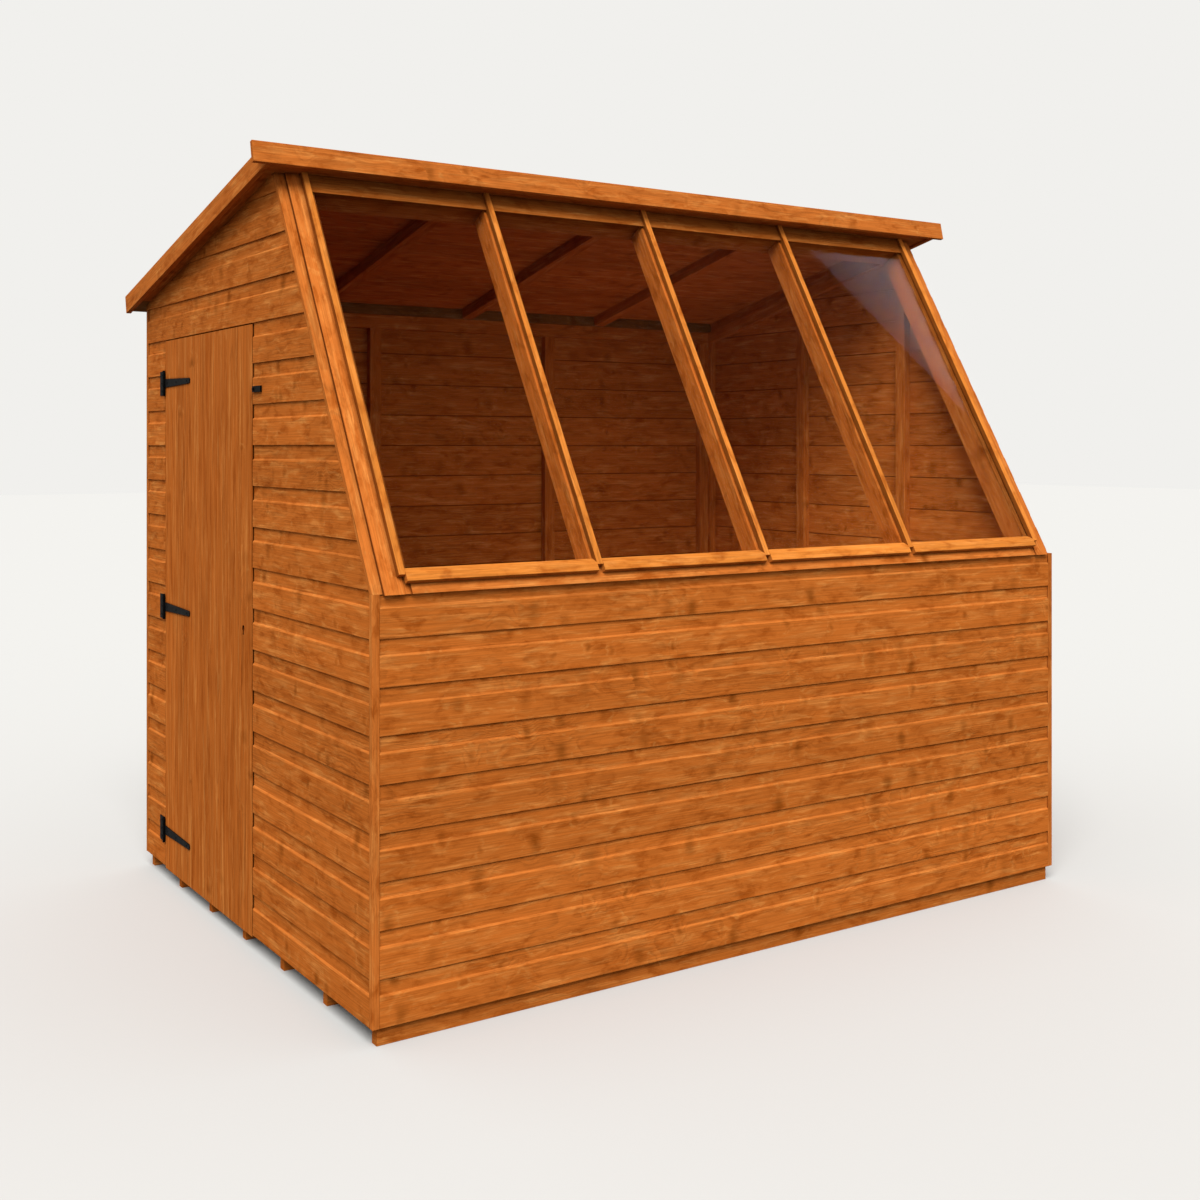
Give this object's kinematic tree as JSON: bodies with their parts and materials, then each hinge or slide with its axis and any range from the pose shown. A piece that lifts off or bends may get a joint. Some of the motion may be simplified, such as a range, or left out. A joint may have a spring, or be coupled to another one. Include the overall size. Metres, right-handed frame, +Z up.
{
  "type": "potting shed",
  "caption": "Timber potting shed with shiplap walls, a sloping glazed panel above a low front wall, a pent roof falling to the back and a ledged door in one end.",
  "frame": {"origin": "on the ground under the middle of the bounding box, level with the undersides of the floor bearers", "axes": "+X along the front from the door end to the plain end, +Y from the low glazed front to the back wall, +Z up"},
  "size_m": [2.566, 1.8912, 2.2065],
  "materials": {
    "cladding_wood": "dip-treated planed softwood, matt",
    "frame_wood": "dip-treated planed softwood framing, matt",
    "trim_wood": "dip-treated planed softwood trim, matt",
    "window_wood": "dip-treated planed softwood joinery, matt",
    "door_wood": "dip-treated planed softwood boards, matt",
    "glass": "clear horticultural glass",
    "roofing_felt": "mineral-faced bitumen felt, matt",
    "ironwork": "black japanned iron, satin"
  },
  "bodies": {
    "shed": {"front_cladding": "cladding_wood", "back_cladding": "cladding_wood", "door_end_cladding_front": "cladding_wood", "door_end_cladding_back": "cladding_wood", "door_end_cladding_over": "cladding_wood", "plain_end_cladding": "cladding_wood", "floor_bearers": "frame_wood", "floor_boards": "frame_wood", "front_bottom_rail": "frame_wood", "front_top_rail": "frame_wood", "front_studs": "frame_wood", "back_bottom_rail": "frame_wood", "back_top_rail": "frame_wood", "back_studs": "frame_wood", "door_end_bottom_rails": "frame_wood", "door_hinge_post": "frame_wood", "door_latch_post": "frame_wood", "door_header": "frame_wood", "door_end_studs": "frame_wood", "door_end_top_rail": "frame_wood", "door_end_raking_rail": "frame_wood", "plain_end_bottom_rail": "frame_wood", "plain_end_studs": "frame_wood", "plain_end_top_rail": "frame_wood", "plain_end_raking_rail": "frame_wood", "roof_front_rail": "frame_wood", "roof_back_rail": "frame_wood", "roof_end_rails": "frame_wood", "roof_rafters": "frame_wood", "roof_boards": "frame_wood", "corner_strips": "trim_wood", "raking_strip": "trim_wood", "front_fascia": "trim_wood", "barge_boards": "trim_wood", "bar_cover_strips": "trim_wood", "sill_beads": "trim_wood", "head_beads": "trim_wood", "window_sill_rail": "window_wood", "window_head_rail": "window_wood", "window_stile_left": "window_wood", "window_stile_right": "window_wood", "glazing_bar_1": "window_wood", "glazing_bar_2": "window_wood", "glazing_bar_3": "window_wood", "window_pane_1": "glass", "window_pane_2": "glass", "window_pane_3": "glass", "window_pane_4": "glass", "roof_felt": "roofing_felt", "hinge_plates": "ironwork", "hinge_pins": "ironwork", "turn_button_screw": "ironwork", "lock_keep": "ironwork"},
    "door": {"door_boards": "door_wood", "door_ledges": "door_wood", "door_braces": "door_wood", "hinge_straps": "ironwork", "lock_case": "ironwork"},
    "lock_bolt": {"lock_bolt": "ironwork"},
    "turn_button": {"turn_button": "ironwork"}
  },
  "joints": [
    {"name": "door_hinge", "type": "hinge", "parent": "shed", "child": "door", "pos_m": [-1.203, 0.65251, 0.885], "axis": [0, 0, -1], "range_deg": [0, 170]},
    {"name": "lock_bolt_slide", "type": "slide", "parent": "door", "child": "lock_bolt", "axis": [0, -1, 0], "range_m": [0, 0.014]},
    {"name": "turn_button_pivot", "type": "hinge", "parent": "shed", "child": "turn_button", "pos_m": [-1.2015, -0.16949, 1.562], "axis": [1, 0, 0], "range_deg": [0, 180]}
  ]
}
